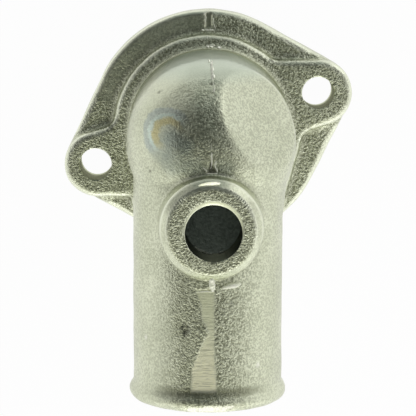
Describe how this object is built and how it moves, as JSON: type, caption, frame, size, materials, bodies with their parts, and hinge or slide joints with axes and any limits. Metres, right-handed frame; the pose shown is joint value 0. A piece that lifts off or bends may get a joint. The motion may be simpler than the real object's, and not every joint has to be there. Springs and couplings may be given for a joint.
{
  "type": "thermostat housing",
  "caption": "Cast aluminium coolant outlet elbow that covers an engine's thermostat: bolted flange, domed chamber, beaded hose neck and a drilled boss on its crown.",
  "frame": {"origin": "centre of the thermostat seat in the plane of the flange's flat gasket face", "axes": "+Z out of the engine along the dome's axis, -Y the way the hose neck leaves in plan, +X to the side of the flat on the dome's shoulder"},
  "size_m": [0.0784, 0.0991, 0.059],
  "materials": {
    "cast_aluminium": "as cast, fine sandy grain"
  },
  "bodies": {
    "root": {"housing": "cast_aluminium"}
  },
  "joints": []
}
